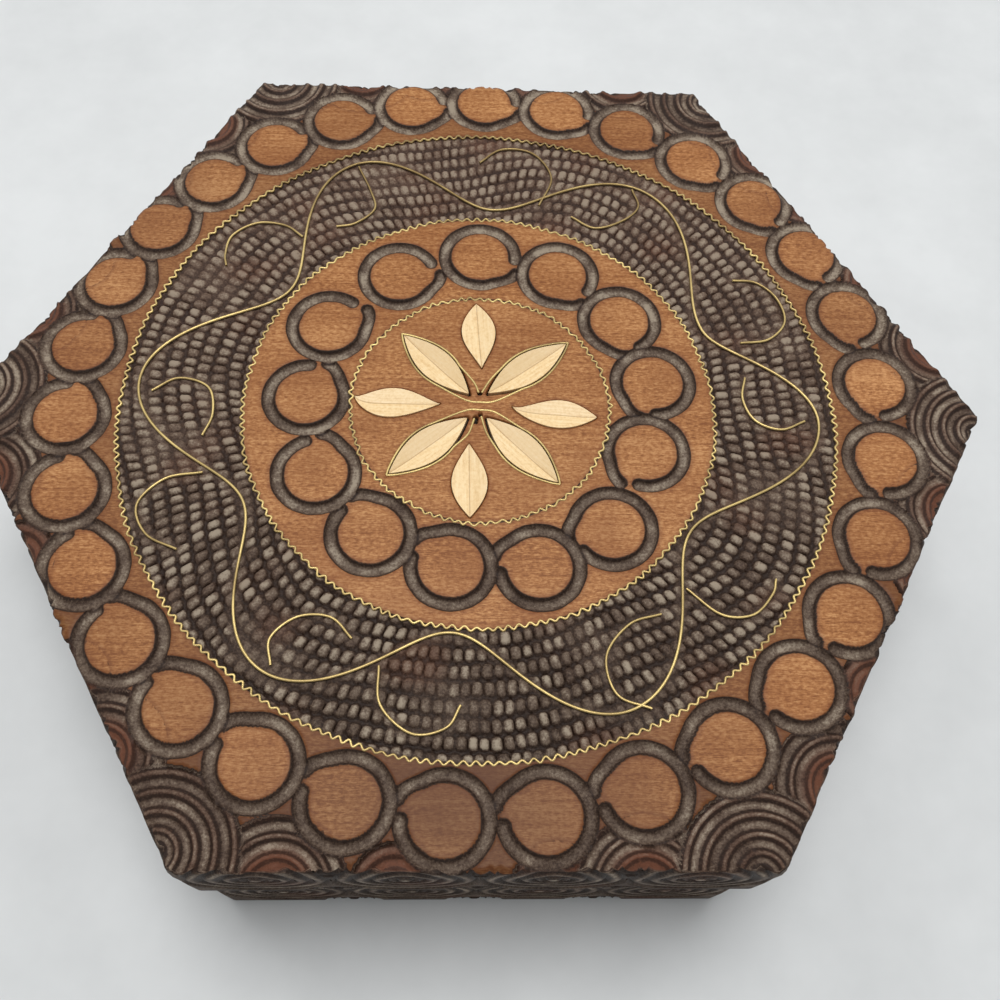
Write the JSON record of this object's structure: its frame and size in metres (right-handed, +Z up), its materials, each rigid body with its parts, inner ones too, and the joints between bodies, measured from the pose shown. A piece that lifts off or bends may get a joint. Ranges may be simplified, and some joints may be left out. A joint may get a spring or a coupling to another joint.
{
  "type": "carved wooden box",
  "caption": "Hexagonal carved wooden box with a hinged lid: gouged ring chains, corner fans, brass wire vine and pale leaf inlay",
  "frame": {"origin": "centre of the underside, on the surface that the box stands on", "axes": "+Z up through the lid, front side facing -Y, hinges along +Y, corners at +X and -X"},
  "size_m": [0.204, 0.1809, 0.0522],
  "materials": {
    "body_wood": "stained and lacquered, carved and burnished dark",
    "lid_wood": "amber lacquer on the flats, grey-brown burnish in the carving",
    "pale_wood": "pale inlaid leaves under clear lacquer",
    "brass_wire": "bright wire, polished by wear",
    "brass_hinge": "plain brass, slightly dulled"
  },
  "bodies": {
    "root": {"base_panel": "body_wood", "body_side_front": "body_wood", "body_side_front_right": "body_wood", "body_side_back_right": "body_wood", "body_side_back": "body_wood", "body_side_back_left": "body_wood", "body_side_front_left": "body_wood", "hinge_left_body_leaf": "brass_hinge", "hinge_right_body_leaf": "brass_hinge", "hinge_left_pin": "brass_hinge", "hinge_right_pin": "brass_hinge", "body_hinge_screws": "brass_hinge"},
    "lid": {"lid_board": "lid_wood", "lid_rim_front": "lid_wood", "lid_rim_front_right": "lid_wood", "lid_rim_back_right": "lid_wood", "lid_rim_back": "lid_wood", "lid_rim_back_left": "lid_wood", "lid_rim_front_left": "lid_wood", "inner_crimped_wire": "brass_wire", "middle_crimped_wire": "brass_wire", "outer_crimped_wire": "brass_wire", "vine_wire": "brass_wire", "vine_tendrils": "brass_wire", "leaf_wires": "brass_wire", "wired_leaves": "pale_wood", "plain_leaves": "pale_wood", "hinge_left_lid_leaf": "brass_hinge", "hinge_right_lid_leaf": "brass_hinge", "lid_hinge_screws": "brass_hinge"}
  },
  "joints": [
    {"name": "lid_hinge", "type": "hinge", "parent": "root", "child": "lid", "pos_m": [0, 0.09073, 0.03035], "axis": [-1, 0, 0], "range_deg": [0, 105]}
  ]
}
